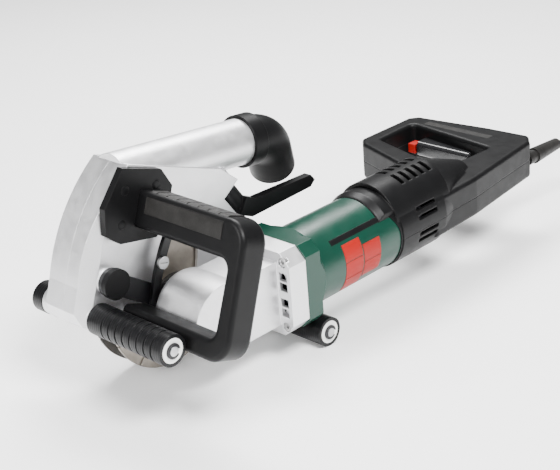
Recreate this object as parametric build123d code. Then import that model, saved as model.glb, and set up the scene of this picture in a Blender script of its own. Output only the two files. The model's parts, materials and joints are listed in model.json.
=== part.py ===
"""Twin-disc wall chaser: plunging motor unit, roller hood, dust pipe and mains cord.

Frame: +X points rearward to the cord, +Y across to the disc side, +Z up, millimetres.
The machine stands on its two discs and its rear rollers, as it is put down between cuts.
Motor parts are drawn in a level frame about the spindle, hood parts in a frame along the
line between the roller axles, and both are then turned into the standing position.
"""
from build123d import *
import os
from math import radians, cos, sin, tan, pi, atan2, degrees, hypot

# ---------------------------------------------------------------- driving dimensions
DISC_R = 62.5                 # 125 mm diamond discs
DISC_T = 2.4
ROLLER_R = 13.5
MOTOR_TILT = 2.6              # motor axis, rear end up
HOOD_TILT = 17.7              # roller line, rear end down
REAR_AXLE_X = 111.3           # ahead of this lies the spindle, at x = 0
WHEELBASE = 198.3
PIVOT_U, PIVOT_W = -196.0, 32.0   # plunge pivot in the hood frame
PLUNGE_RANGE = 28.0           # degrees from full depth to discs inside the hood
BARREL_R = 37.8               # motor housing
FLANGE_HALF = 39.0            # gear and motor flange, half the side
NEAR_WALL, SEAM, FAR_WALL = 44.0, 66.0, 88.0   # hood faces across the machine
WALL = 3.0
NEAR_DISC_Y, FAR_DISC_Y = 50.0, 74.0
AXLE_R = 4.0
RUN = 0.05                    # radial running clearance
PIPE_R, PIPE_WALL = 21.0, 2.5
WHEEL_PITCH_R, PINION_PITCH_R = 24.0, 7.0
GEAR_GAP = 0.2
PIPE_RISE = 14.7              # dust pipe against the roller line
CORD_D = 8.5
COIL_MID_D = 94.0

# ---------------------------------------------------------------- frames
HOOD = Pos(REAR_AXLE_X, 0, ROLLER_R) * Rot(0, HOOD_TILT, 0)
MOTOR = Pos(0, 0, DISC_R) * Rot(0, -MOTOR_TILT, 0)


def spindle_in_hood():
    """Spindle centre (u, w) in the hood frame."""
    a = radians(HOOD_TILT)
    dx, dz = -REAR_AXLE_X, DISC_R - ROLLER_R
    return dx * cos(a) - dz * sin(a), dx * sin(a) + dz * cos(a)


def pivot_in_motor():
    """Plunge pivot (x, z) in the motor frame."""
    su, sw = spindle_in_hood()
    a = radians(HOOD_TILT + MOTOR_TILT)
    du, dw = PIVOT_U - su, PIVOT_W - sw
    return du * cos(a) + dw * sin(a), -du * sin(a) + dw * cos(a)


SPINDLE_U, SPINDLE_W = spindle_in_hood()
PIVOT_X, PIVOT_Z = pivot_in_motor()


# ---------------------------------------------------------------- small builders
def block(x0, x1, y0, y1, z0, z1):
    """Box between two corners."""
    size = (abs(x1 - x0), abs(y1 - y0), abs(z1 - z0))
    return Pos((x0 + x1) / 2, (y0 + y1) / 2, (z0 + z1) / 2) * Box(*size)


def rod_x(r, x0, x1, y=0, z=0):
    """Cylinder along X."""
    return Pos((x0 + x1) / 2, y, z) * Rot(0, 90, 0) * Cylinder(r, x1 - x0)


def rod_y(r, y0, y1, x=0, z=0):
    """Cylinder along Y."""
    return Pos(x, (y0 + y1) / 2, z) * Rot(90, 0, 0) * Cylinder(r, y1 - y0)


def ring_x(r, hole, x0, x1, y=0, z=0):
    """Washer or sleeve along X."""
    return rod_x(r, x0, x1, y, z) - rod_x(hole, x0 - 1, x1 + 1, y, z)


def ring_y(r, hole, y0, y1, x=0, z=0):
    """Washer or sleeve along Y."""
    return rod_y(r, y0, y1, x, z) - rod_y(hole, y0 - 1, y1 + 1, x, z)


def cone_x(r0, r1, x0, x1):
    """Cone along X, r0 at x0 and r1 at x1."""
    return Pos((x0 + x1) / 2, 0, 0) * Rot(0, 90, 0) * Cone(r0, r1, x1 - x0)


def slab_y(face, y0, y1):
    """A face drawn in X and Z, made solid from y0 to y1."""
    return Pos(0, y1, 0) * extrude(Plane.XZ * face, y1 - y0)


def slab_z(face, z0, z1):
    """A face drawn in X and Y, made solid from z0 to z1."""
    return Pos(0, 0, z0) * extrude(face, z1 - z0)


def outline(*points, r=0):
    """Closed polygon face, its corners rounded by r."""
    face = make_face(Polyline(*points, close=True))
    return fillet(face.vertices(), r) if r else face


def chamfered_square(half, cut):
    """Square face with cut corners."""
    return chamfer(Rectangle(2 * half, 2 * half).vertices(), cut)


def plate_x(face, x0, x1):
    """A face drawn in Y and Z, made solid from x0 to x1."""
    return Pos(x0, 0, 0) * extrude(Plane.YZ * face, x1 - x0)


def one(shape):
    """The single solid of a shape, checked."""
    solids = shape.solids()
    assert len(solids) == 1, len(solids)
    return solids[0]


# ---------------------------------------------------------------- gear head, motor frame
GEAR_FRONT_R = 34.0
GEAR_HALF_Y = 24.0
GEAR_HALF_Z = 30.0
GEAR_WALL = 4.0
FLANGE_X0, FLANGE_X1, FLANGE_X2 = 62.0, 82.0, 100.0
SCREW_HALF = 30.7
SCREW_HEAD_R, SCREW_HEAD_H = 4.0, 3.0


def flange_corners():
    """The four screw places on the flanges."""
    return [(y, z) for y in (-SCREW_HALF, SCREW_HALF) for z in (-SCREW_HALF, SCREW_HALF)]


def gear_housing():
    """Cast gear head with its flange, four fan outlets each side and a spindle bore."""
    head = rod_y(GEAR_FRONT_R, -GEAR_HALF_Y, GEAR_HALF_Y)
    body = block(0, FLANGE_X0 + 2, -GEAR_HALF_Y, GEAR_HALF_Y, -GEAR_HALF_Z, GEAR_HALF_Z)
    flange = plate_x(chamfered_square(FLANGE_HALF, 11), FLANGE_X0, FLANGE_X1)
    shape = head + body + flange
    inner_y = GEAR_HALF_Y - GEAR_WALL
    shape -= rod_y(GEAR_FRONT_R - GEAR_WALL, -inner_y, GEAR_HALF_Y + 1)
    shape -= block(0, 50, -inner_y, inner_y, -26, 26)
    shape -= rod_x(15.0, 45, FLANGE_X0 + 5)
    shape -= rod_x(32.0, FLANGE_X0 + 4, FLANGE_X1 + 1)
    for side in (-1, 1):
        for z0 in (3.5, 13.0):
            for sign in (-1, 1):
                shape -= block(FLANGE_X0 - 1, FLANGE_X0 + 5, side * 26, side * 35,
                               sign * z0, sign * (z0 + 8))
    for y, z in flange_corners():
        shape -= rod_x(2.5, FLANGE_X0 - 1, FLANGE_X1 + 1, y, z)
        shape -= rod_x(SCREW_HEAD_R + 0.5, FLANGE_X0 - 1, FLANGE_X0 + 4, y, z)
    shape -= rod_y(7.5, -GEAR_HALF_Y - 1, -inner_y + 1, 18, 20)
    return one(shape)


def gear_screws():
    """Four long screws that hold the gear head to the motor housing."""
    return Compound(children=[
        one(rod_x(2.5, FLANGE_X0 + 4, FLANGE_X2 - 3, y, z)
            + rod_x(SCREW_HEAD_R, FLANGE_X0 + 4 - SCREW_HEAD_H, FLANGE_X0 + 4, y, z)
            - rod_x(1.8, FLANGE_X0, FLANGE_X0 + 2.6, y, z))
        for y, z in flange_corners()])


def bearing_flange():
    """Cover on the disc side of the gear head, with the neck that carries the bearing."""
    shape = rod_y(32, GEAR_HALF_Y, 28) + rod_y(20, 28, 44)
    shape += rod_y(29.8, 18, GEAR_HALF_Y)
    shape -= rod_y(13.0, 17, 32)
    shape -= rod_y(10.0, 31, 45)
    return one(shape)


def swing_arm():
    """Arm clamped round the neck; it hangs the motor unit on the plunge pivot."""
    y0, y1 = 36.5, 41.0
    length = hypot(PIVOT_X, PIVOT_Z)
    beam = block(-length, 0, y0, y1, -9, 9)
    turn = degrees(atan2(PIVOT_Z, -PIVOT_X))
    shape = Rot(0, turn, 0) * beam
    shape += rod_y(26, y0, y1) + rod_y(12, y0, y1, PIVOT_X, PIVOT_Z)
    shape -= rod_y(20.0, y0 - 1, y1 + 1)
    shape -= rod_y(5.0 + RUN, y0 - 1, y1 + 1, PIVOT_X, PIVOT_Z)
    return one(shape)


def spindle_lock_button():
    """Sprung button on the near side that blocks the bevel wheel when it is pushed."""
    cap = rod_y(7.4, -29, -21.5, 18, 20)
    pin = rod_y(2.5, -21.5, -16.5, 18, 20)
    return one(fillet(cap.edges().group_by(Axis.Y)[0], 1.5) + pin)


# ---------------------------------------------------------------- spindle
def spindle():
    """Output spindle with a collar, from the gear head to the disc nut."""
    shape = rod_y(6, -18, 34) + rod_y(8, 34, 83)
    shape += rod_y(10 - 0.5, 32, 35)
    return one(shape)


def bevel_wheel():
    """Large bevel gear, drawn as its smooth pitch cone."""
    low, high = (r * PINION_PITCH_R / WHEEL_PITCH_R + GEAR_GAP for r in (17, WHEEL_PITCH_R))
    face = Pos(0, -(low + high) / 2, 0) * Rot(90, 0, 0) * Cone(17, WHEEL_PITCH_R, high - low)
    shape = face + rod_y(WHEEL_PITCH_R, -13, -high) + rod_y(9, -low, 0)
    shape -= rod_y(6, -15, 6)
    return one(shape)


def spindle_bearings():
    """Sealed ball bearing in the neck and needle bearing in the near wall."""
    return Compound(children=[one(ring_y(13 - RUN, 6, 20, 31)), one(ring_y(10, 6, -19.9, -14))])


def inner_flange():
    """Flange against which the near disc is clamped."""
    return one(ring_y(18, 8, 45, NEAR_DISC_Y - DISC_T / 2))


def disc(y):
    """Segmented diamond disc."""
    shape = ring_y(DISC_R, 8, y - DISC_T / 2, y + DISC_T / 2)
    for k in range(12):
        slot = block(DISC_R - 11, DISC_R + 2, y - 3, y + 3, -0.9, 0.9)
        hole = rod_y(2.0, y - 3, y + 3, DISC_R - 11)
        shape -= Rot(0, 30 * k + 9, 0) * (slot + hole)
    return one(shape)


def spacer_rings():
    """Rings that set the width of the slot."""
    y0, y1 = NEAR_DISC_Y + DISC_T / 2, FAR_DISC_Y - DISC_T / 2
    parts = []
    width = (y1 - y0) / 3
    for k in range(3):
        parts.append(one(ring_y(17, 8, y0 + k * width, y0 + (k + 1) * width)))
    return Compound(children=parts)


def clamp_nut():
    """Disc nut with two pin holes."""
    y0 = FAR_DISC_Y + DISC_T / 2
    shape = ring_y(18, 8, y0, y0 + 5)
    for x in (-13, 13):
        shape -= rod_y(2.5, y0 + 1.5, y0 + 6, x)
    return one(shape)


# ---------------------------------------------------------------- motor
HOUSING_X3 = 212.0
SHAFT_R = 5.0


def motor_housing():
    """Moulded motor housing: square flange, step and round barrel."""
    flange = plate_x(chamfered_square(FLANGE_HALF, 9), FLANGE_X1, FLANGE_X2)
    barrel = rod_x(BARREL_R, FLANGE_X1, HOUSING_X3)
    collar = cone_x(43, BARREL_R, FLANGE_X2, FLANGE_X2 + 7)
    square = plate_x(Rectangle(2 * FLANGE_HALF, 2 * FLANGE_HALF), FLANGE_X2 - 1, FLANGE_X2 + 8)
    shape = flange + barrel + (collar & square)
    shape -= rod_x(34, FLANGE_X1 - 1, HOUSING_X3 + 1)
    for y, z in flange_corners():
        shape -= rod_x(2.5, FLANGE_X1 - 1, FLANGE_X2 - 3, y, z)
    return one(shape)


def field_stator():
    """Laminated stator with the field coils potted in it."""
    shape = ring_x(34, 21, 108, 166)
    shape += ring_x(31, 22.5, 100, 174)
    return one(shape)


def baffle_ring():
    """Ring that guides the cooling air to the fan."""
    return one(ring_x(34, 24, 95, 98))


def armature_shaft():
    """Shaft from the pinion to the rear bearing."""
    return one(rod_x(SHAFT_R, 31, 224) + rod_x(3, 16, 31))


def armature_core():
    """Laminated armature with its windings."""
    shape = rod_x(20, 110, 164) + rod_x(17, 102, 174)
    return one(shape - rod_x(SHAFT_R, 100, 176))


def commutator():
    """Copper commutator drum with slots between its bars."""
    shape = ring_x(13, SHAFT_R, 178, 198)
    for k in range(24):
        shape -= Rot(15 * k, 0, 0) * block(180, 199, -0.3, 0.3, 12, 14)
    return one(shape)


def cooling_fan():
    """Fan wheel behind the gear head."""
    shape = ring_x(28, SHAFT_R, 88, 90) + ring_x(10, SHAFT_R, 84, 94)
    for k in range(11):
        shape += Rot(360 / 11 * k, 0, 0) * block(83, 89, -0.9, 0.9, 9, 28)
    return one(shape)


def armature_bearings():
    """Ball bearings of the armature, in the gear head and behind the brushes."""
    return Compound(children=[one(ring_x(15 - RUN, SHAFT_R, 52, 62)),
                              one(ring_x(11 - RUN, SHAFT_R, 208, 217))])


def rear_bearing_seat():
    """Spider that carries the rear bearing between the housings."""
    shape = ring_x(34, 27, 204, 210) + ring_x(14, 11, 207, 217)
    shape += block(207, 210, -30, 30, -3, 3) + block(207, 210, -3, 3, -30, 30)
    return one(shape - rod_x(11, 200, 220))


def bevel_pinion():
    """Small bevel gear, drawn as its smooth pitch cone."""
    slope = PINION_PITCH_R / WHEEL_PITCH_R
    shape = cone_x(17 * slope - GEAR_GAP, 25 * slope - GEAR_GAP, 17, 25) + rod_x(7, 25, 31)
    return one(shape - rod_x(3, 10, 40))


def brush_holders():
    """Two brass brush boxes either side of the commutator."""
    parts = []
    for side in (-1, 1):
        shape = block(182, 194, side * 15, side * 31, -6, 6)
        shape -= block(184, 192, side * 14, side * 32, -4, 4)
        parts.append(one(shape))
    return Compound(children=parts)


def carbon_brushes():
    """Two carbon brushes riding on the commutator."""
    return Compound(children=[one(block(184, 192, side * 13.2, side * 27, -4, 4))
                              for side in (-1, 1)])


# ---------------------------------------------------------------- rear housing, motor frame
REAR_X0 = 212.0
SPLIT_Z = -2.0
SLAB_LOW, SLAB_HIGH = -22.0, 18.0
SLAB_EDGE_R = 4.0
REAR_WALL = 3.5
HUMP_Z = 9.5


def handle_face():
    """Plan outline of the D handle behind the motor."""
    return outline((262, -37), (330, -35), (440, -22), (455, -10), (452, 40), (441, 124),
                   (431, 132), (354, 132), (343, 122), (318, 48), (300, 38), (262, 37), r=5)


def handle_opening():
    """Plan outline of the hand opening."""
    return outline((363, 114), (419, 115), (404, 4), (352, 8), (343, 42), r=5)


def rear_body(grow=0.0):
    """Outer form of the rear housing, or its hollow when grow is negative."""
    face = handle_face() - handle_opening()
    if grow:
        face = offset(handle_face(), amount=grow) - offset(handle_opening(), amount=-grow)
    body = rod_x(39.5 + grow, REAR_X0, 276) + cone_x(39.5 + grow, 26 + grow, 276, 335)
    hump = rod_x(36 + grow, REAR_X0 - 4, 286, 0, HUMP_Z)
    hump += Pos(0, 0, HUMP_Z) * cone_x(36 + grow, 14 + grow, 286, 348)
    slab = slab_z(face, SLAB_LOW - grow, SLAB_HIGH + grow)
    if not grow:
        levels = slab.edges().group_by(Axis.Z)
        slab = fillet(levels[0] + levels[-1], SLAB_EDGE_R)
    return body + hump + slab


def rear_shell(upper):
    """Upper or lower half of the rear housing."""
    shape = rear_body() - rear_body(-REAR_WALL)
    shape -= rod_x(BARREL_R, REAR_X0 - 6, REAR_X0)
    shape -= rod_x(36, REAR_X0 - 1, REAR_X0 + 4)
    lip = cone_x(BARREL_R, 41, 187, 196) + rod_x(41, 196, REAR_X0) - rod_x(BARREL_R, 180, REAR_X0)
    lip &= block(180, REAR_X0, -31, 31, 16, 60)
    if upper:
        shape += lip
        for row in range(2):
            for k in range(5):
                x0 = 236 + 10 * k
                shape -= block(x0, x0 + 5, 1 - 20 * row, 15 - 20 * row, 30, 60)
    for z0 in (16, 8, -8, -15):
        shape -= block(236, 264, -50, -28, z0, z0 + 4)
    keep = block(100, 500, -200, 200, SPLIT_Z, 100) if upper \
        else block(100, 500, -200, 200, -100, SPLIT_Z)
    shape = shape & keep
    shape -= rod_x(7.0, 440, 470, -13, SPLIT_Z - 4)
    shape -= trigger_room()
    shape -= block(398, 416, 98.7, 108.3, SPLIT_Z - 6.3, SPLIT_Z + 4.3)
    if upper:
        shape -= block(424, 432.5, 20, 104, SLAB_HIGH - 2, SLAB_HIGH + 1)
    return one(max(shape.solids(), key=lambda s: s.volume))


def trigger_room():
    """Slot in the inner side of the grip for the trigger."""
    return block(396, 425, 28.6, 96.4, SPLIT_Z - 8.4, SPLIT_Z + 8.4)


def trigger():
    """Long paddle trigger, hinged at its far end."""
    shape = block(401, 420, 29, 96, SPLIT_Z - 8, SPLIT_Z + 8)
    return one(fillet(shape.edges().filter_by(Axis.Y).group_by(Axis.X)[0], 4))


def lock_off_button():
    """Slide beside the trigger that frees it."""
    return one(block(401, 413, 99, 108, SPLIT_Z - 6, SPLIT_Z + 4))


def soft_grip_inlay():
    """Soft strip let into the top of the grip."""
    return one(block(424, 432.5, 20, 104, SLAB_HIGH - 2, SLAB_HIGH))


def handle_screws():
    """Screws that close the two rear shells."""
    parts = []
    for x, y in ((300, -24), (436, 0), (430, 118), (362, 122)):
        parts.append(one(rod_z(3.0, x, y, SLAB_LOW + 4, SLAB_HIGH - 4)))
    return Compound(children=parts)


def rod_z(r, x, y, z0, z1):
    """Cylinder along Z."""
    return Pos(x, y, (z0 + z1) / 2) * Cylinder(r, z1 - z0)


def switch_module():
    """Switch behind the trigger."""
    return one(block(426.5, 441, 40, 80, SPLIT_Z - 10, SPLIT_Z + 10))


def electronics_module():
    """Potted soft-start electronics in the rear barrel."""
    return one(block(228, 262, -20, 20, -20, 16))


BOOT_X0, BOOT_X1 = 446.0, 502.0
CORD_Y, CORD_Z = -13.0, SPLIT_Z - 4


def strain_relief():
    """Tapered rubber boot round the cord."""
    shape = rod_x(7.0, BOOT_X0, 462, CORD_Y, CORD_Z)
    shape += Pos(0, CORD_Y, CORD_Z) * cone_x(8.5, 6.2, 459, BOOT_X1)
    return one(shape - rod_x(CORD_D / 2, BOOT_X0 - 1, BOOT_X1 + 1, CORD_Y, CORD_Z))


# ---------------------------------------------------------------- hood, hood frame
FRONT_U = -WHEELBASE
RIM_U = -220.0
TOP_W = 128.0
SHOE_W = -8.0
REAR_TIP_U = 14.0
FRONT_BOSS_R, REAR_BOSS_R = 13.0, 12.0
FRONT_NEAR_Y, REAR_NEAR_Y = -46.0, -36.0
PIPE_U0, PIPE_W0 = -190.0, 112.5
PIPE_U1 = -36.0
PIPE_LENGTH = (PIPE_U1 - PIPE_U0) / cos(radians(PIPE_RISE))
LEVER_AXIS = -35.0            # clamp bolt against the roller line, degrees
LEVER_U, LEVER_W, LEVER_Y = -75.0, 112.0, 54.0
LEVER_R = 9.5
LOOP_U0, LOOP_U1 = -183.0, -156.0
LOOP_NEAR_Y, LOOP_INNER_Y = -88.0, -72.0
LOOP_LOW, LOOP_LOW_IN, LOOP_TOP_IN, LOOP_TOP = -3.0, 14.5, 78.0, 110.0
FLANGE_FACE_Y = 37.0


def hood_face():
    """Side outline of the hood."""
    rim = ThreePointArc((RIM_U, 24), (RIM_U + 6, 84), (RIM_U + 27, TOP_W))
    seat = (lever_at(4) * Pos(-12, 0, 0)).position
    step = (lever_at(4) * Pos(LEVER_R + 0.5, 0, 0)).position
    foot = (lever_at(30) * Pos(LEVER_R + 0.5, 0, 0)).position
    rest = Polyline((RIM_U + 27, TOP_W), (-88, TOP_W), (seat.X, seat.Z), (step.X, step.Z),
                    (foot.X, foot.Z), (-50, 66), (-49, 46), (-30, 28), (REAR_TIP_U, 12),
                    (REAR_TIP_U, SHOE_W), (RIM_U + 8, SHOE_W), (RIM_U, 2), (RIM_U, 24))
    return make_face([rim, rest])


def hood_hollow():
    """Space inside the hood, open at the floor."""
    face = offset(hood_face(), amount=-WALL)
    space = slab_y(face, NEAR_WALL + WALL, FAR_WALL - WALL)
    space += block(-205, -26, NEAR_WALL + WALL, FAR_WALL - WALL, SHOE_W - 1, 2)
    relief = slab_z(outline((-225, 40), (-197, 40), (-225, 60)), -30, 140)
    return space - relief


def pipe_at(s):
    """A placement along the dust pipe, s from its front end, local Z along the pipe."""
    a = radians(PIPE_RISE)
    return Pos(PIPE_U0 + s * cos(a), SEAM, PIPE_W0 + s * sin(a)) * Rot(0, 90 - PIPE_RISE, 0)


def pipe_rod(r, s0, s1):
    """Cylinder along the dust pipe axis."""
    return pipe_at((s0 + s1) / 2) * Cylinder(r, s1 - s0)


def lever_at(s):
    """A placement along the clamp bolt axis, local Z along it."""
    a = radians(LEVER_AXIS)
    return Pos(LEVER_U + s * cos(a), LEVER_Y, LEVER_W + s * sin(a)) * Rot(0, 90 - LEVER_AXIS, 0)


def lever_rod(r, s0, s1):
    """Cylinder along the clamp bolt axis."""
    return lever_at((s0 + s1) / 2) * Cylinder(r, s1 - s0)


def lever_boss():
    """Round boss that takes the clamp bolt."""
    return lever_rod(12, -14, 4) & block(-140, -40, NEAR_WALL, SEAM, 80, 160)


def neck_slot():
    """Arc slot in the near wall through which the neck swings."""
    shape = None
    for k in range(8):
        a = radians(PLUNGE_RANGE * k / 7)
        du, dw = SPINDLE_U - PIVOT_U, SPINDLE_W - PIVOT_W
        u = PIVOT_U + du * cos(a) - dw * sin(a)
        w = PIVOT_W + du * sin(a) + dw * cos(a)
        hole = rod_y(22, NEAR_WALL - 1, NEAR_WALL + WALL + 1, u, w)
        shape = hole if shape is None else shape + hole
    return shape


def hood_body():
    """Both hood castings in one, before the seam divides them."""
    shape = slab_y(hood_face(), NEAR_WALL, FAR_WALL)
    shape -= slab_z(outline((-226, 42), (-203, 42), (-226, 54)), -30, 140)
    shape -= hood_hollow()
    shape += rod_y(FRONT_BOSS_R, NEAR_WALL, 104, FRONT_U)
    shape += rod_y(REAR_BOSS_R, NEAR_WALL, 92, 0)
    shape += rod_y(11, NEAR_WALL - 2.5, NEAR_WALL + 4, PIVOT_U, PIVOT_W)
    shape -= rod_y(AXLE_R, -10, 120, FRONT_U) + rod_y(AXLE_R, -10, 120, 0)
    shape -= rod_y(5.0, 30, NEAR_WALL + 5, PIVOT_U, PIVOT_W)
    shape -= neck_slot()
    shape -= pipe_rod(PIPE_R - PIPE_WALL, 12, PIPE_LENGTH)
    for u, w in hood_screw_places():
        post = rod_y(5.5, NEAR_WALL + 8, FAR_WALL - 1, u, w)
        shape += post & slab_y(hood_face(), NEAR_WALL, FAR_WALL)
    for u, w in hood_screw_places():
        shape -= rod_y(2.0, NEAR_WALL + 12, FAR_WALL + 1, u, w)
    return shape


def hood_screw_places():
    """Screw bosses round the hood, clear of the discs."""
    return [(-211, 40), (-185, 121), (-98, 121), (-30, 18)]


def hood_half(near):
    """One of the two castings."""
    keep = block(-260, 60, NEAR_WALL - 20, SEAM, -40, 200) if near \
        else block(-260, 60, SEAM, FAR_WALL + 30, -40, 200)
    shape = hood_body() & keep
    if near:
        shape += lever_boss()
        shape -= lever_rod(4, -14, 5)
        for u, w in flange_screw_places():
            shape -= rod_y(2.0, NEAR_WALL - 1, NEAR_WALL + WALL + 1, u, w)
    return one(max(shape.solids(), key=lambda s: s.volume))


def hood_screws():
    """Screws of the castings from the far side, of the handle flange and of the strap."""
    shapes = []
    for u, w in hood_screw_places():
        shapes.append(rod_y(2.0, NEAR_WALL + 12, FAR_WALL, u, w)
                      + rod_y(4.2, FAR_WALL, FAR_WALL + 2.6, u, w)
                      - rod_y(1.6, FAR_WALL + 0.8, FAR_WALL + 3, u, w))
    for u, w in flange_screw_places():
        shapes.append(rod_y(2.0, FLANGE_FACE_Y + 3, NEAR_WALL + WALL, u, w)
                      + rod_y(3.8, FLANGE_FACE_Y + 0.4, FLANGE_FACE_Y + 3, u, w))
    strap_screw = rod_y(2.5, BRACE_Y0, BRACE_Y1, BRACE_U, BRACE_W)
    strap_screw += rod_y(5.5, BRACE_Y0 - 2.6, BRACE_Y0, BRACE_U, BRACE_W)
    strap_screw -= block(BRACE_U - 4, BRACE_U + 4, BRACE_Y0 - 4, BRACE_Y0 - 1.4,
                         BRACE_W - 0.6, BRACE_W + 0.6)
    shapes.append(strap_screw)
    return Compound(children=[one(shape) for shape in shapes])


def dust_pipe():
    """Cast extraction pipe that leaves the top of the hood."""
    shape = pipe_rod(PIPE_R, 0, PIPE_LENGTH)
    shape -= pipe_rod(PIPE_R - PIPE_WALL, 12, PIPE_LENGTH + 1)
    shape -= slab_y(hood_face(), NEAR_WALL, FAR_WALL)
    shape -= lever_boss()
    shape &= block(-260, 0, 0, 120, TOP_W - 30, 260)
    return one(max(shape.solids(), key=lambda s: s.volume))


ELBOW_COLLAR_R, ELBOW_R, ELBOW_BORE = 24.0, 21.5, 18.0
ELBOW_BEND_R, ELBOW_TURN = 34.0, 60.0
ELBOW_TWIST = -20.0
ELBOW_TAIL = 26.0
ELBOW_COLLAR = 15.0


def elbow_solid(r, tail):
    """Round bar that follows the elbow, local Z along the pipe at first."""
    axis = Axis((ELBOW_BEND_R, 0, 0), (0, 1, 0))
    bend = revolve(Circle(r), axis, ELBOW_TURN)
    a = radians(ELBOW_TURN)
    end = Pos(ELBOW_BEND_R * (1 - cos(a)), 0, ELBOW_BEND_R * sin(a)) * Rot(0, ELBOW_TURN, 0)
    return bend + end * Pos(0, 0, tail / 2) * Cylinder(r, tail)


def dust_elbow():
    """Swivelling elbow pushed over the end of the pipe."""
    collar = Pos(0, 0, 1 - ELBOW_COLLAR / 2) * Cylinder(ELBOW_COLLAR_R, ELBOW_COLLAR)
    outer = elbow_solid(ELBOW_R, ELBOW_TAIL) + collar
    inner = elbow_solid(ELBOW_BORE, ELBOW_TAIL + 4)
    shape = outer - inner - Pos(0, 0, -8) * Cylinder(PIPE_R + 0.08, 16)
    return one(pipe_at(PIPE_LENGTH) * Rot(0, 0, -ELBOW_TWIST) * shape)


def clamp_stud():
    """Threaded stud of the clamp lever."""
    return one(lever_rod(4, -14, 24))


def clamp_lever():
    """Quick clamp lever for the plunge guide."""
    hub = lever_rod(LEVER_R, 4.3, 30)
    a = radians(LEVER_AXIS)
    u, w = LEVER_U + 25 * cos(a), LEVER_W + 25 * sin(a)
    arm = outline((u - 1, w - 10), (u + 14, w - 11), (u + 85, w + 18), (u + 89, w + 25),
                  (u + 82, w + 29), (u + 14, w + 6), (u + 2, w + 7))
    shape = hub + slab_y(arm, 41.5, 49.5)
    return one(shape - lever_rod(4 + RUN, 0, 24.5))


def flange_screw_places():
    """Screws that hold the handle flange."""
    return [(-198, 108), (-166, 114), (-160, 80), (-196, 80)]


def handle_flange():
    """Black eight-sided flange on the near face of the hood."""
    face = outline((-204, 126), (-163, 127), (-148, 114), (-148, 86), (-156, 70), (-194, 64),
                   (-210, 70), (-216, 92))
    shape = slab_y(face, FLANGE_FACE_Y, NEAR_WALL)
    for u, w in flange_screw_places():
        shape -= rod_y(2.0, FLANGE_FACE_Y - 1, NEAR_WALL + 1, u, w)
        shape -= rod_y(4.0, FLANGE_FACE_Y - 1, FLANGE_FACE_Y + 3, u, w)
    return one(shape)


def loop_face():
    """Front view of the bail handle, drawn in Y and W."""
    outer = fillet(make_face(Polyline(
        (FLANGE_FACE_Y, LOOP_TOP), (LOOP_NEAR_Y + 2, LOOP_TOP), (LOOP_NEAR_Y, LOOP_LOW),
        (34, LOOP_LOW), (34, LOOP_LOW_IN + 5), (FLANGE_FACE_Y, LOOP_LOW_IN + 5),
        close=True)).vertices().sort_by(Axis.X)[:2], 20)
    inner = fillet(make_face(Polyline(
        (50, LOOP_TOP_IN), (LOOP_INNER_Y, LOOP_TOP_IN), (LOOP_INNER_Y + 1, LOOP_LOW_IN),
        (50, LOOP_LOW_IN), close=True)).vertices().sort_by(Axis.X)[:2], 9)
    return outer - inner


def bail_handle():
    """Front bail handle: grip bar, near bar and lower bar."""
    shape = plate_x(loop_face(), LOOP_U0, LOOP_U1)
    edges = [e for e in shape.edges() if e.center().Y < FLANGE_FACE_Y - 4
             and abs(e.tangent_at(0.5).X) < 0.1]
    shape = fillet(edges, 4.5)
    shape -= grip_form()
    return one(max(shape.solids(), key=lambda s: s.volume))


def grip_form():
    """Outer skin of the soft grip on the grip bar."""
    outer = block(LOOP_U0 - 0.5, LOOP_U1 + 0.5, -62, 27, LOOP_TOP_IN + 14, LOOP_TOP + 1)
    outer = fillet(outer.edges().filter_by(Axis.Y).group_by(Axis.Z)[-1], 8)
    core = block(LOOP_U0 + 4.5, LOOP_U1 - 4.5, -70, 40, LOOP_TOP_IN, LOOP_TOP - 4.5)
    return outer - core


def grip_sleeve():
    """Ribbed soft sleeve on the grip bar."""
    shape = grip_form()
    for k in range(7):
        y = -52 + 12 * k
        shape -= block(LOOP_U0 - 2, LOOP_U1 + 2, y - 0.6, y + 0.6, LOOP_TOP - 0.4, LOOP_TOP + 3)
    return one(max(shape.solids(), key=lambda s: s.volume))


BRACE_Y0, BRACE_Y1 = 31.0, 35.0
BRACE_U, BRACE_W = -151.5, 50.0


def handle_brace():
    """Curved strap from the flange to the foot of the handle."""
    arc = ThreePointArc((-146, 80), (-152, 44), (-150, 8))
    strap = trace(arc, line_width=8)
    shape = slab_y(strap, BRACE_Y0, BRACE_Y1)
    shape += block(-155.5, -148, BRACE_Y1, FLANGE_FACE_Y, 72, 84)
    shape += block(LOOP_U1, -146, 30, BRACE_Y1 - 1, LOOP_LOW + 2, LOOP_LOW_IN - 4)
    shape -= rod_y(2.5, BRACE_Y0 - 1, FLANGE_FACE_Y + 1, BRACE_U, BRACE_W)
    return one(max(shape.solids(), key=lambda s: s.volume))


def pivot_pin():
    """Shouldered pin of the plunge pivot, with its black cap."""
    shape = rod_y(5.0, 34, NEAR_WALL + 4, PIVOT_U, PIVOT_W)
    return one(shape + rod_y(13, 30.5, 36.2, PIVOT_U, PIVOT_W))


def return_spring():
    """Torsion spring round the pivot inside the hood."""
    helix = Helix(pitch=2.6, height=10.4, radius=8, center=(0, 0, 0))
    wire = sweep(Plane(helix @ 0, z_dir=helix % 0) * Circle(0.9), helix, is_frenet=True)
    return one(Pos(PIVOT_U, NEAR_WALL + 6, PIVOT_W) * Rot(-90, 0, 0) * wire)


def axle(u, y0, y1):
    """Steel axle across the hood."""
    return one(rod_y(AXLE_R, y0, y1, u))


def roller(u, y0, y1, near_end, ribs):
    """Black roller with a stepped end and, on the front one, ribs."""
    shape = ring_y(ROLLER_R, AXLE_R + RUN, y0, y1, u)
    if ribs:
        for k in range(8):
            y = y0 + 10 + 8.6 * k
            shape -= ring_y(ROLLER_R + 1, ROLLER_R - 0.9, y, y + 1.8, u)
    if near_end:
        shape -= ring_y(10.6, AXLE_R - 1, y0 - 1, y0 + 1.2, u)
    return one(shape)


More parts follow.
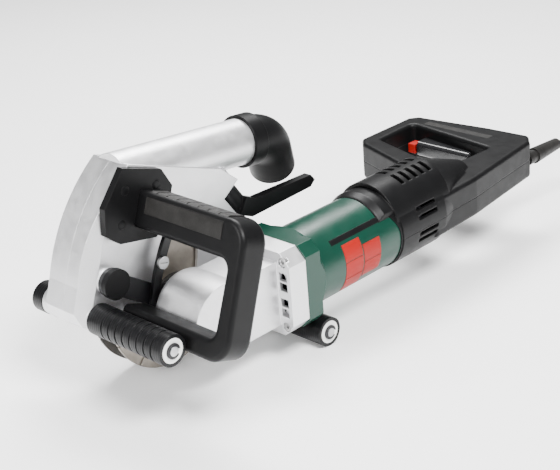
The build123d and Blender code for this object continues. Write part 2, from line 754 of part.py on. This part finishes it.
def end_washers():
    """White thrust washers at the outer ends of the axles."""
    places = ((FRONT_U, FRONT_NEAR_Y, 1), (0, REAR_NEAR_Y, 1))
    return Compound(children=[one(ring_y(10.4, AXLE_R, y + 0.05, y + 1.1, u)) for u, y, _ in places])


def axle_clips():
    """Retaining clips snapped on the ends of both axles."""
    parts = []
    for u, y in ((FRONT_U, FRONT_NEAR_Y - 1.3), (0, REAR_NEAR_Y - 1.3),
                 (FRONT_U, 117.2), (0, 105.2)):
        clip = ring_y(6.6, AXLE_R, y, y + 1.2, u)
        clip -= block(u, u + 9, y - 1, y + 2, -2.2, 2.2)
        parts.append(one(clip))
    return Compound(children=parts)


# ---------------------------------------------------------------- cord, standing frame
COIL_X, COIL_Y, COIL_Z0 = 690.0, 10.0, 1.2
COIL_LAYERS, COIL_COLUMNS = 3, 4
COIL_H = COIL_LAYERS * CORD_D
COIL_HALF = COIL_COLUMNS * CORD_D / 2
FLOOR_Z = CORD_D / 2 + 0.15
CORD_ROUTE = [(423.84, -13.0, 75.74), (529.72, -13.0, 80.55), (579.0, -16.0, 62.0),
              (607.0, -26.0, 23.0), (641.0, -43.0, FLOOR_Z), (690.0, -50.0, FLOOR_Z)]
TAIL_R, TAIL_DX = 46.0, 8.0
TAIL_STEPS = ((-60, 0.1), (-22, 0.4), (16, 1.5), (54, 4.5), (92, 8.5), (130, 12.0), (168, 13.0))
PLUG_R = 17.0


def tail_route():
    """Points of the tail that climbs over the coil to the plug."""
    top = COIL_Z0 + COIL_H + CORD_D / 2
    return [(COIL_X + TAIL_DX + TAIL_R * cos(radians(a)), COIL_Y + TAIL_R * sin(radians(a)), top + h)
            for a, h in TAIL_STEPS]


def cord_tube(points, name):
    """Round tube through the route, each corner an arc as large as its runs allow."""
    pts = [Vector(*p) for p in points]
    radii = []
    for a, b, c in zip(pts, pts[1:], pts[2:]):
        turn = radians((b - a).get_angle(c - b))
        radii.append(0.45 * min((b - a).length, (c - b).length) / tan(turn / 2))
    path = FilletPolyline(*pts, radius=radii)
    tube = sweep(Plane(pts[0], z_dir=pts[1] - pts[0]) * Circle(CORD_D / 2), path)
    ideal = pi * CORD_D ** 2 / 4 * path.length
    print(name, "radii", [round(r) for r in radii], "length", round(path.length),
          "volume ratio", round(tube.volume / ideal, 4))
    return one(tube)


def cable_coil():
    """Outer shape of the tied coil."""
    outer, inner = COIL_MID_D / 2 + COIL_HALF, COIL_MID_D / 2 - COIL_HALF
    ring = Cylinder(outer, COIL_H) - Cylinder(inner, COIL_H + 2)
    return one(Pos(COIL_X, COIL_Y, COIL_Z0 + COIL_H / 2) * ring)


def plug_frame():
    """Placement of the plug, local Z out of its pins."""
    x, y, z = tail_route()[-1]
    heading = radians(TAIL_STEPS[-1][0] + 90)
    return Plane((x, y, z), z_dir=(cos(heading), sin(heading), 0))


def plug_body():
    """Moulded mains plug with its tapered tail."""
    shape = Pos(0, 0, 10) * Cone(6, 9, 20) + Pos(0, 0, 37) * Cylinder(PLUG_R, 34)
    shape = shape + Pos(0, 0, 18.5) * Cone(8.7, 12, 3)
    return one(plug_frame() * shape)


def plug_pins():
    """Two round contact pins."""
    return Compound(children=[one(plug_frame() * Pos(x, 0, 63.5) * Cylinder(2.4, 19))
                              for x in (-9.5, 9.5)])


# ---------------------------------------------------------------- assembly
def motor_parts():
    """Every node drawn in the motor frame."""
    return {
        "gear_housing": gear_housing(), "gear_screws": gear_screws(),
        "bearing_flange": bearing_flange(), "swing_arm": swing_arm(),
        "spindle_lock_button": spindle_lock_button(), "spindle": spindle(),
        "bevel_wheel": bevel_wheel(), "spindle_bearings": spindle_bearings(),
        "inner_flange": inner_flange(),
        "near_disc": disc(NEAR_DISC_Y), "far_disc": disc(FAR_DISC_Y),
        "spacer_rings": spacer_rings(), "clamp_nut": clamp_nut(),
        "motor_housing": motor_housing(),
        "field_stator": field_stator(), "baffle_ring": baffle_ring(),
        "armature_shaft": armature_shaft(), "armature_core": armature_core(),
        "commutator": commutator(), "cooling_fan": cooling_fan(),
        "armature_bearings": armature_bearings(),
        "rear_bearing_seat": rear_bearing_seat(), "bevel_pinion": bevel_pinion(),
        "brush_holders": brush_holders(), "carbon_brushes": carbon_brushes(),
        "rear_shell_upper": rear_shell(True), "rear_shell_lower": rear_shell(False),
        "trigger": trigger(), "lock_off_button": lock_off_button(),
        "soft_grip_inlay": soft_grip_inlay(), "handle_screws": handle_screws(),
        "switch_module": switch_module(), "electronics_module": electronics_module(),
        "strain_relief": strain_relief(),
    }


def hood_parts():
    """Every node drawn in the hood frame."""
    return {
        "hood_near_casting": hood_half(True), "hood_far_casting": hood_half(False),
        "hood_screws": hood_screws(), "dust_pipe": dust_pipe(), "dust_elbow": dust_elbow(),
        "clamp_stud": clamp_stud(), "clamp_lever": clamp_lever(),
        "handle_flange": handle_flange(),
        "bail_handle": bail_handle(), "grip_sleeve": grip_sleeve(),
        "handle_brace": handle_brace(),
        "pivot_pin": pivot_pin(), "return_spring": return_spring(),
        "front_axle": axle(FRONT_U, FRONT_NEAR_Y - 2, 119),
        "rear_axle": axle(0, REAR_NEAR_Y - 2, 107),
        "front_near_roller": roller(FRONT_U, FRONT_NEAR_Y, NEAR_WALL - 0.3, True, True),
        "rear_near_roller": roller(0, REAR_NEAR_Y, NEAR_WALL - 0.3, True, False),
        "front_far_roller": roller(FRONT_U, 104.3, 117, False, False),
        "rear_far_roller": roller(0, 92.3, 105, False, False),
        "end_washers": end_washers(), "axle_clips": axle_clips(),
    }


def cord_parts():
    """Every node drawn in the standing frame."""
    return {
        "mains_cable": cord_tube(CORD_ROUTE, "mains_cable"), "cable_coil": cable_coil(),
        "cable_tail": cord_tube(tail_route(), "cable_tail"),
        "plug_body": plug_body(), "plug_pins": plug_pins(),
    }


CORD_NODES = ("mains_cable", "cable_coil", "cable_tail", "plug_body", "plug_pins", "strain_relief")


def assembly():
    """All nodes in the part frame, whose origin is the bottom centre of the machine."""
    nodes = {name: MOTOR * shape for name, shape in motor_parts().items()}
    nodes.update({name: HOOD * shape for name, shape in hood_parts().items()})
    nodes.update(cord_parts())
    boxes = [shape.bounding_box() for name, shape in nodes.items() if name not in CORD_NODES]
    x0, x1 = min(b.min.X for b in boxes), max(b.max.X for b in boxes)
    y0, y1 = min(b.min.Y for b in boxes), max(b.max.Y for b in boxes)
    z0, z1 = min(b.min.Z for b in boxes), max(b.max.Z for b in boxes)
    shift = Pos(-(x0 + x1) / 2, -(y0 + y1) / 2, -z0)
    print("origin shift", shift.position, "size", x1 - x0, y1 - y0, z1 - z0)
    return {name: shift * shape for name, shape in nodes.items()}


def main():
    """Write one STEP file for each node."""
    os.makedirs("parts", exist_ok=True)
    for name, shape in assembly().items():
        export_step(shape, f"parts/{name}.step")


if __name__ == "__main__":
    main()
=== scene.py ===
"""Looks of the wall chaser: materials, trim, mains cord, light and camera round the CAD frame."""
import json
from math import cos, pi, radians, sin

import bmesh
import bpy
from mathutils import Matrix, Vector


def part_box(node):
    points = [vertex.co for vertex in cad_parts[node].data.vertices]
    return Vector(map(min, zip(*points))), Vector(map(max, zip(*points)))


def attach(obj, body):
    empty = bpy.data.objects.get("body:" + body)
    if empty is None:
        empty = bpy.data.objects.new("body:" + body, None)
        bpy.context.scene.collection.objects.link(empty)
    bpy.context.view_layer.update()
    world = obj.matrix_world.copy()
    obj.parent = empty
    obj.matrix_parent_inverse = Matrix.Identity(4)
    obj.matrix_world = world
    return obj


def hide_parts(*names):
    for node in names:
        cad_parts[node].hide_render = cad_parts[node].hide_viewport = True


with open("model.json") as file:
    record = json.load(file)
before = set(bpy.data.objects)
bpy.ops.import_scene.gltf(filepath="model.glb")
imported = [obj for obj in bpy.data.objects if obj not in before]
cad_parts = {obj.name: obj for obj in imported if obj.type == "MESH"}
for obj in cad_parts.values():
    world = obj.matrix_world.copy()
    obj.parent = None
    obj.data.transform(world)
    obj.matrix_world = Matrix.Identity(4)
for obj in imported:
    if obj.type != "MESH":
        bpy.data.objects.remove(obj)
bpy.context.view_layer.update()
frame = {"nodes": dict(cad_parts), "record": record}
nodes = frame["nodes"]

# Sizes in metres. The spindle is the drawing's origin, and the near disc shows where it is.
disc_low, disc_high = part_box("near_disc")
DISC_Y = 0.050
ORIGIN = Vector(((disc_low.x + disc_high.x) / 2, (disc_low.y + disc_high.y) / 2 - DISC_Y, disc_low.z))
SPINDLE_Z = 0.0625
MOTOR_TILT = radians(2.6)
HOOD_X, HOOD_Z, HOOD_TILT = 0.1113, 0.0135, radians(17.7)     # rear axle and lean of the hood
CORD_D = 0.0085


def placed(x, y, z):
    """A point of the standing drawing in the row frame."""
    return ORIGIN + Vector((x, y, z))


MOTOR = Matrix.Translation(placed(0, 0, SPINDLE_Z)) @ Matrix.Rotation(-MOTOR_TILT, 4, "Y")
HOOD = Matrix.Translation(placed(HOOD_X, 0, HOOD_Z)) @ Matrix.Rotation(HOOD_TILT, 4, "Y")


def linked(name, data):
    """A new object in the scene."""
    obj = bpy.data.objects.new(name, data)
    bpy.context.scene.collection.objects.link(obj)
    return obj


def mesh_from(bm, name, sharp_degrees=None):
    """A mesh from its bmesh, smooth up to an angle where one is given."""
    mesh = bpy.data.meshes.new(name)
    bm.to_mesh(mesh)
    bm.free()
    if sharp_degrees:
        mesh.shade_smooth()
        mesh.set_sharp_from_angle(angle=radians(sharp_degrees))
    return mesh


# ---------------------------------------------------------------- materials
WAVE_RATE = 20                # radians per metre of a wave texture of scale 1


class Shader:
    """Small helper that strings procedural nodes together for one material."""

    def __init__(self, name):
        self.material = bpy.data.materials.new(name)
        self.material.use_nodes = True
        self.tree = self.material.node_tree
        self.bsdf = self.tree.nodes["Principled BSDF"]
        coords = self.tree.nodes.new("ShaderNodeTexCoord")
        self.place = coords.outputs["Object"]
        self.normal = None

    def node(self, kind, **values):
        made = self.tree.nodes.new(kind)
        for key, value in values.items():
            if key in made.inputs:
                made.inputs[key].default_value = value
            else:
                setattr(made, key, value)
        return made

    def link(self, a, b):
        self.tree.links.new(a, b)

    def set(self, socket, value):
        self.bsdf.inputs[socket].default_value = value

    def noise(self, scale, detail=3.0, stretch=(1, 1, 1)):
        """Noise in object space, scale in features per metre."""
        mapping = self.node("ShaderNodeMapping")
        mapping.inputs["Scale"].default_value = stretch
        self.link(self.place, mapping.inputs["Vector"])
        made = self.node("ShaderNodeTexNoise", Scale=scale, Detail=detail)
        self.link(mapping.outputs["Vector"], made.inputs["Vector"])
        return made.outputs["Fac"]

    def ramp(self, value, low, high, start=0.35, end=0.65):
        """Value turned into a range of numbers."""
        made = self.node("ShaderNodeMapRange")
        made.inputs["From Min"].default_value = start
        made.inputs["From Max"].default_value = end
        made.inputs["To Min"].default_value = low
        made.inputs["To Max"].default_value = high
        self.link(value, made.inputs["Value"])
        return made.outputs["Result"]

    def mix(self, factor, a, b):
        """Colour mix; factor is a socket, and a and b are colours or sockets."""
        made = self.node("ShaderNodeMix", data_type="RGBA")
        self.link(factor, made.inputs["Factor"])
        for socket, value in (("A", a), ("B", b)):
            target = [s for s in made.inputs if s.name == socket and s.type == "RGBA"][0]
            if isinstance(value, tuple):
                target.default_value = (*value, 1)
            else:
                self.link(value, target)
        return [s for s in made.outputs if s.type == "RGBA"][0]

    def bump(self, height, distance, strength=1.0):
        """Adds a bump layer, distance in metres."""
        made = self.node("ShaderNodeBump", Strength=strength, Distance=distance)
        self.link(height, made.inputs["Height"])
        if self.normal:
            self.link(self.normal, made.inputs["Normal"])
        self.normal = made.outputs["Normal"]

    def edges(self, radius, gain=1.0):
        """One near convex edges, zero on flats."""
        bevel = self.node("ShaderNodeBevel", Radius=radius, samples=4)
        geometry = self.node("ShaderNodeNewGeometry")
        dot = self.node("ShaderNodeVectorMath", operation="DOT_PRODUCT")
        self.link(bevel.outputs["Normal"], dot.inputs[0])
        self.link(geometry.outputs["Normal"], dot.inputs[1])
        return self.ramp(dot.outputs["Value"], gain, 0.0, 0.7, 0.98)

    def soften(self, radius):
        """Rounds edges in the shading by this radius."""
        bevel = self.node("ShaderNodeBevel", Radius=radius, samples=6)
        self.normal = bevel.outputs["Normal"]

    def done(self):
        if self.normal:
            self.link(self.normal, self.bsdf.inputs["Normal"])
        return self.material


def plastic(name, colour, worn, rough=0.45, grain=0.00012, gloss=0.4, edge=0.0007):
    """Moulded plastic: fine spark-eroded grain, faint mottling, paler rubbed edges."""
    s = Shader(name)
    s.soften(edge)
    mottled = s.mix(s.ramp(s.noise(30), 0, 1), colour, tuple(c * 1.12 for c in colour))
    rubbed = s.mix(s.edges(edge * 1.2, 0.22), mottled, worn)
    s.link(rubbed, s.bsdf.inputs["Base Color"])
    s.link(s.ramp(s.noise(90), rough - 0.03, rough + 0.04), s.bsdf.inputs["Roughness"])
    s.set("Specular IOR Level", gloss)
    s.bump(s.noise(1200, 2), grain, 0.6)
    return s.done()


def casting(name, colour, shade, rough=0.42):
    """Die-cast aluminium: blasted skin with faint flow marks and bright edges."""
    s = Shader(name)
    s.soften(0.0009)
    cloudy = s.mix(s.ramp(s.noise(22, 4), 0, 1, 0.3, 0.7), shade, colour)
    fleck = s.ramp(s.noise(900, 2), 0, 0.35, 0.5, 0.75)
    flecked = s.mix(fleck, cloudy, tuple(c * 0.8 for c in colour))
    bright = s.mix(s.edges(0.0012, 0.5), flecked, (0.93, 0.93, 0.94))
    s.link(bright, s.bsdf.inputs["Base Color"])
    s.set("Metallic", 0.9)
    s.link(s.ramp(s.noise(120), rough - 0.02, rough + 0.05), s.bsdf.inputs["Roughness"])
    s.bump(s.noise(1100, 2), 0.00012, 0.5)
    return s.done()


def steel(name, colour, rough=0.3, stretch=(1, 1, 1), metal=1.0, lines=0.00005):
    """Machined steel: fine lay of the tool and uneven sheen."""
    s = Shader(name)
    s.soften(0.0003)
    tone = s.mix(s.ramp(s.noise(60, 4), 0, 1), tuple(c * 0.75 for c in colour), colour)
    s.link(tone, s.bsdf.inputs["Base Color"])
    s.set("Metallic", metal)
    s.link(s.ramp(s.noise(300, 2, stretch), rough - 0.06, rough + 0.1), s.bsdf.inputs["Roughness"])
    s.bump(s.noise(220, 2, stretch), lines, 0.35)
    return s.done()


def rubber(name, colour, rough=0.62, grain=0.0001):
    """Soft rubber: matt skin with dusty sheen and fine texture."""
    s = Shader(name)
    s.soften(0.0006)
    tone = s.mix(s.ramp(s.noise(80, 4), 0, 1), colour, tuple(c * 1.5 + 0.004 for c in colour))
    s.link(tone, s.bsdf.inputs["Base Color"])
    s.link(s.ramp(s.noise(200), rough - 0.07, rough + 0.08), s.bsdf.inputs["Roughness"])
    s.set("Specular IOR Level", 0.2)
    s.set("Sheen Weight", 0.04)
    s.bump(s.noise(1100, 2), grain)
    return s.done()


def ribbed(material, pitch, depth, axis):
    """Turned grooves of one pitch along an axis, added to a material."""
    tree = material.node_tree
    coords = tree.nodes.new("ShaderNodeTexCoord")
    wave = tree.nodes.new("ShaderNodeTexWave")
    wave.bands_direction = axis
    wave.inputs["Scale"].default_value = 2 * pi / (WAVE_RATE * pitch)
    bump = tree.nodes.new("ShaderNodeBump")
    bump.inputs["Distance"].default_value = depth
    target = tree.nodes["Principled BSDF"].inputs["Normal"]
    tree.links.new(coords.outputs["Object"], wave.inputs["Vector"])
    tree.links.new(wave.outputs["Fac"], bump.inputs["Height"])
    if target.links:
        tree.links.new(target.links[0].from_socket, bump.inputs["Normal"])
    tree.links.new(bump.outputs["Normal"], target)
    return material


BLACK = (0.004, 0.004, 0.0043)
SHELL_EDGE = 0.0016
LOOKS = {
    "cast_aluminium": casting("cast_aluminium", (0.76, 0.76, 0.77), (0.71, 0.71, 0.72)),
    "black_plastic": plastic("black_plastic", BLACK, (0.025, 0.024, 0.023), 0.4, 0.00006, 0.13),
    "black_steel": plastic("black_steel", (0.006, 0.006, 0.007), (0.06, 0.06, 0.06),
                           0.34, 0.00004, 0.35),
    "roller_plastic": ribbed(
        plastic("roller_plastic", (0.004, 0.004, 0.0045), (0.025, 0.025, 0.025), 0.36, 0.00004, 0.2),
        0.0027, 0.00006, "Y"),
    "green_plastic": plastic("green_plastic", (0.0005, 0.03, 0.018), (0.012, 0.09, 0.06),
                             0.34, 0.00004, 0.35),
    "soft_rubber": rubber("soft_rubber", (0.006, 0.0055, 0.005), 0.45),
    "cord_rubber": rubber("cord_rubber", (0.005, 0.005, 0.0055), 0.42, 0.00004),
    "red_plastic": plastic("red_plastic", (0.27, 0.007, 0.005), (0.35, 0.03, 0.02),
                           0.4, 0.00003, 0.15),
    "white_plastic": plastic("white_plastic", (0.8, 0.8, 0.78), (0.85, 0.85, 0.84), 0.4, 0.00005),
    "screw_steel": steel("screw_steel", (0.6, 0.6, 0.6), 0.35),
    "machined_steel": steel("machined_steel", (0.56, 0.56, 0.57), 0.28, (1, 8, 1)),
    "disc_steel": steel("disc_steel", (0.42, 0.38, 0.33), 0.42, (1, 6, 1), 0.9, 0.00008),
    "lamination_steel": steel("lamination_steel", (0.2, 0.19, 0.18), 0.5, (30, 1, 1), 0.8),
    "copper": steel("copper", (0.75, 0.36, 0.18), 0.3, (1, 6, 6)),
    "brass": steel("brass", (0.75, 0.56, 0.25), 0.32),
    "carbon": plastic("carbon", (0.02, 0.02, 0.021), (0.06, 0.06, 0.06), 0.6),
    "inner_plastic": plastic("inner_plastic", (0.06, 0.06, 0.07), (0.1, 0.1, 0.1), 0.5),
}
OWN_LOOKS = {
    "trigger": plastic("trigger_gloss", (0.012, 0.012, 0.013), (0.05, 0.05, 0.05), 0.2, 0.00002, 0.6),
    "rear_shell_upper": plastic("rear_shell_black", BLACK, (0.03, 0.029, 0.028),
                                0.4, 0.00006, 0.13, SHELL_EDGE),
    # Far disc: the near disc's steel made darker, painted shade for the shadow it lies in.
    "far_disc": steel("far_disc_shaded_steel", (0.2, 0.19, 0.18), 0.45, (1, 6, 1), 0.9),
}
OWN_LOOKS["rear_shell_lower"] = OWN_LOOKS["rear_shell_upper"]
slot_of = {sub["node"]: sub["material_slot"] for sub in frame["record"]["subparts"]}
for name, obj in nodes.items():
    look = OWN_LOOKS.get(name, LOOKS[slot_of[name]])
    for material_slot in obj.material_slots:
        material_slot.link = "OBJECT"
        material_slot.material = look


# ---------------------------------------------------------------- new pieces
def piece(name, mesh, body, slot):
    """A mesh that rides on a CAD body and wears a slot's look."""
    obj = linked(name, mesh)
    obj.data.materials.append(LOOKS[slot])
    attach(obj, body)


PATCH_STEPS, PATCH_LENGTHS = 40, 8      # faces round and along the barrel


def barrel_patch(name, front, rear, low, high, inner, outer, slot):
    """Curved panel on the motor barrel between two angles, in degrees up from the near side.

    front and rear give where it starts and ends along the motor for each angle.
    """
    bm = bmesh.new()
    rings = []
    for i in range(PATCH_STEPS + 1):
        degrees_up = low + (high - low) * i / PATCH_STEPS
        a = radians(degrees_up)
        x0, x1 = front(degrees_up), rear(degrees_up)
        rows = []
        for r in (inner, outer):
            places = [Vector((x0 + (x1 - x0) * j / PATCH_LENGTHS, -r * cos(a), r * sin(a)))
                      for j in range(PATCH_LENGTHS + 1)]
            rows.append([bm.verts.new(MOTOR @ place) for place in places])
        rings.append(rows)
    for (in_a, out_a), (in_b, out_b) in zip(rings, rings[1:]):
        for j in range(PATCH_LENGTHS):
            bm.faces.new((out_a[j], out_a[j + 1], out_b[j + 1], out_b[j]))
            bm.faces.new((in_a[j], in_b[j], in_b[j + 1], in_a[j + 1]))
        bm.faces.new((in_a[0], out_a[0], out_b[0], in_b[0]))
        bm.faces.new((in_a[-1], in_b[-1], out_b[-1], out_a[-1]))
    for in_row, out_row in (rings[0], rings[-1]):
        for j in range(PATCH_LENGTHS):
            bm.faces.new((in_row[j], in_row[j + 1], out_row[j + 1], out_row[j]))
    bmesh.ops.recalc_face_normals(bm, faces=bm.faces)
    piece(name, mesh_from(bm, name, 40), "motor_unit", slot)


# ---------------------------------------------------------------- motor barrel trim
BARREL_R = 0.0378
SHELL_FRONT = 0.2125
TONGUE_LOW, TONGUE_REACH = 0.2095, 0.0205       # where the shell's edge starts and how far it comes
BAND_LOW, BAND_HIGH = BARREL_R - 0.0002, BARREL_R + 0.00025
BANDS = {"a": (0.134, 0.157, 6, 31), "b": (0.134, 0.157, -19, 5), "c": (0.134, 0.157, -44, -20),
         "d": (0.1585, 0.181, -6, 19), "e": (0.1585, 0.181, -31, -7)}


def tongue_front(up):
    """The black shell reaches further forward over the top of the barrel."""
    rise = min(max((min(up, 180 - up) - 4) / 76, 0), 1)
    return TONGUE_LOW - TONGUE_REACH * rise * rise * (3 - 2 * rise)


barrel_patch("shell_tongue", tongue_front, lambda up: SHELL_FRONT, -60, 240,
             BARREL_R - 0.0003, BARREL_R + 0.0009, "black_plastic")
for letter, (front, rear, low, high) in BANDS.items():
    barrel_patch(f"rating_band_{letter}", lambda up, x=front: x, lambda up, x=rear: x, low, high,
                 BAND_LOW, BAND_HIGH, "red_plastic")
barrel_patch("trim_strip", lambda up: 0.124, lambda up: 0.1965, 36, 44, BAND_LOW, BAND_HIGH,
             "black_plastic")


# ---------------------------------------------------------------- screw caps on the handle flange
CAP_R, CAP_LOW, CAP_RISE, CAP_SIDES = 0.0042, 0.0374, 0.0009, 32
CAP_PROFILE = ((CAP_R, 0), (CAP_R, 0.4), (CAP_R * 0.85, 0.75), (CAP_R * 0.45, 0.95))
FLANGE_SCREWS = ((-0.198, 0.108), (-0.166, 0.114), (-0.160, 0.080), (-0.196, 0.080))


def cap_mesh(u, w):
    """Low domed plug over a screw of the front handle's flange."""
    bm = bmesh.new()
    turns = [2 * pi * k / CAP_SIDES for k in range(CAP_SIDES)]
    rings = []
    for r, h in CAP_PROFILE:
        places = [Vector((u + r * cos(a), CAP_LOW - CAP_RISE * h, w + r * sin(a))) for a in turns]
        rings.append([bm.verts.new(HOOD @ place) for place in places])
    for low, high in zip(rings, rings[1:]):
        for k in range(CAP_SIDES):
            after = (k + 1) % CAP_SIDES
            bm.faces.new((low[k], low[after], high[after], high[k]))
    bm.faces.new(rings[0])
    bm.faces.new(rings[-1])
    bmesh.ops.recalc_face_normals(bm, faces=bm.faces)
    return mesh_from(bm, "flange_cap", 50)


for number, (u, w) in enumerate(FLANGE_SCREWS, start=1):
    piece(f"flange_cap_{number}", cap_mesh(u, w), "hood", "black_plastic")


# ---------------------------------------------------------------- mains cord
FLOOR_Z = CORD_D / 2 + 0.00015
COIL_X, COIL_Y, COIL_Z0, COIL_H = 0.690, 0.010, 0.0012, 0.0255
ROUTE = [(0.42384, -0.013, 0.07574), (0.52972, -0.013, 0.08055), (0.579, -0.016, 0.062),
         (0.607, -0.026, 0.023), (0.641, -0.043, FLOOR_Z)]
TAIL_R, TAIL_DX = 0.046, 0.008          # arc of the tail on top of the coil
TAIL_STEPS = ((-60, 0.0001), (-22, 0.0004), (16, 0.0015), (54, 0.0045), (92, 0.0085),
              (130, 0.012), (168, 0.013))
COIL_COLUMNS, COIL_LAYERS = 4, 3
COIL_MID_R = 0.047
TURN_POINTS = 20
STEP_FROM, STEP_SHARE = 0.6, 0.3        # part of a turn that steps over to the next seat
RISE_BULGE = 0.5                        # how far a rising turn leaves its column
SEAT = CORD_D * 1.015         # from one turn to the next


def coil_seat(n):
    """Column and layer of turn n, each layer laid back over the last."""
    layer, step = divmod(n, COIL_COLUMNS)
    return (COIL_COLUMNS - 1 - step if layer % 2 else step), layer


def coil_points():
    """Control points of the turns, which all step over to the next seat at the same place."""
    made = []
    for k in range(COIL_COLUMNS * COIL_LAYERS * TURN_POINTS):
        turn, part = divmod(k, TURN_POINTS)
        part /= TURN_POINTS
        moved = min(max((part - STEP_FROM) / STEP_SHARE, 0), 1)
        (column, layer), (next_column, next_layer) = coil_seat(turn), coil_seat(turn + 1)
        bulge = 0.0
        if layer != next_layer:
            bulge = (RISE_BULGE if column else -RISE_BULGE) * (1 - abs(2 * moved - 1))
        column += moved * (next_column - column) + bulge
        layer += moved * (next_layer - layer)
        radius = COIL_MID_R + ((COIL_COLUMNS - 1) / 2 - column) * SEAT
        a = 2 * pi * part - pi / 2
        made.append((COIL_X + radius * cos(a), COIL_Y + radius * sin(a),
                     COIL_Z0 + CORD_D / 2 + layer * SEAT))
    return made


def cord_points():
    """Every control point of the cord from the boot to the plug, in the row frame."""
    top = COIL_Z0 + COIL_H + CORD_D / 2
    tail = [(COIL_X + TAIL_DX + TAIL_R * cos(radians(a)), COIL_Y + TAIL_R * sin(radians(a)), top + h)
            for a, h in TAIL_STEPS]
    return [placed(*p) for p in ROUTE + coil_points() + tail]


points = cord_points()
curve = bpy.data.curves.new("mains_cord", "CURVE")
curve.dimensions = "3D"
curve.bevel_depth = CORD_D / 2
curve.bevel_resolution = 6
curve.use_fill_caps = True
spline = curve.splines.new("NURBS")
spline.points.add(len(points) - 1)
for point, place in zip(spline.points, points):
    point.co = (*place, 1)
spline.order_u = 3
spline.use_endpoint_u = True
spline.resolution_u = 8
cord = linked("mains_cord", curve)
curve.materials.append(LOOKS["cord_rubber"])
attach(cord, "motor_unit")
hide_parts("mains_cable", "cable_coil", "cable_tail")

TIE_ANGLE, TIE_WIDTH, TIE_THICK, TIE_STEPS = radians(125), 0.014, 0.0012, 48
TIE_CORNER = 5                # power of the strap's rounded square section


def coil_tie():
    """Hook-and-loop strap, snug round the bundle of turns."""
    half_w = COIL_COLUMNS * SEAT / 2 + 0.0006
    half_h = COIL_LAYERS * SEAT / 2 + 0.0003
    centre = placed(COIL_X, COIL_Y, COIL_Z0 + half_h)
    out = Vector((cos(TIE_ANGLE), sin(TIE_ANGLE), 0))
    along = Vector((-out.y, out.x, 0))
    bm = bmesh.new()
    loops = []
    for k in range(TIE_STEPS):
        a = 2 * pi * k / TIE_STEPS
        c, d = cos(a), sin(a)
        reach = (abs(c) ** TIE_CORNER + abs(d) ** TIE_CORNER) ** (-1 / TIE_CORNER)
        row = []
        for grow, side in ((0, -1), (0, 1), (TIE_THICK, 1), (TIE_THICK, -1)):
            row.append(bm.verts.new(centre + out * (c * reach * (half_w + grow) + COIL_MID_R)
                                    + Vector((0, 0, d * reach * (half_h + grow)))
                                    + along * side * TIE_WIDTH / 2))
        loops.append(row)
    for row, after in zip(loops, loops[1:] + loops[:1]):
        for i in range(4):
            bm.faces.new((row[i], row[(i + 1) % 4], after[(i + 1) % 4], after[i]))
    bmesh.ops.recalc_face_normals(bm, faces=bm.faces)
    return mesh_from(bm, "coil_tie")


piece("coil_tie", coil_tie(), "motor_unit", "soft_rubber")


# ---------------------------------------------------------------- floor, light, camera
def lit(name, place, target, size, watts):
    """A soft square light aimed at a point."""
    lamp = bpy.data.lights.new(name, "AREA")
    lamp.shape = "RECTANGLE"
    lamp.size, lamp.size_y = size
    lamp.energy = watts
    obj = linked(name, lamp)
    obj.location = place
    obj.rotation_euler = (Vector(target) - Vector(place)).to_track_quat("-Z", "Y").to_euler()


FLOOR_SIZE = 20
grid = bmesh.new()
bmesh.ops.create_grid(grid, x_segments=2, y_segments=2, size=FLOOR_SIZE)
floor = linked("floor", mesh_from(grid, "floor"))
paper = Shader("floor_paper")
paper.link(paper.mix(paper.ramp(paper.noise(3), 0, 1), (0.93, 0.93, 0.93), (0.95, 0.95, 0.95)),
           paper.bsdf.inputs["Base Color"])
paper.set("Roughness", 0.9)
paper.set("Emission Color", (1, 1, 1, 1))
paper.set("Emission Strength", 0.2)
floor.data.materials.append(paper.done())

world = bpy.data.worlds.new("studio")
bpy.context.scene.world = world
world.use_nodes = True
backdrop = world.node_tree.nodes["Background"]
backdrop.inputs["Color"].default_value = (1, 1, 1, 1)
backdrop.inputs["Strength"].default_value = 0.22

lit("key", (-0.3, -1.0, 1.5), (0, 0, 0.05), (0.8, 0.5), 78)
lit("front", (-1.5, 0.3, 0.9), (0, 0, 0.1), (0.5, 0.9), 26)
lit("top", (0.7, 0.7, 1.6), (0.05, 0, 0.1), (1.1, 0.7), 72)

camera_data = bpy.data.cameras.new("camera")
camera_data.lens = 85.0
camera_data.sensor_width = 36.0
camera = linked("camera", camera_data)
RIGHT = Vector((0.69447, -0.71819, -0.04380))
UP = Vector((0.30110, 0.23481, 0.92424))
BACK = -Vector((0.65349, 0.65504, -0.37932))
axes = Matrix((RIGHT, UP, BACK)).transposed().to_4x4()
camera.matrix_world = Matrix.Translation(placed(-0.6590, -0.7515, 0.5391)) @ axes
bpy.context.scene.camera = camera
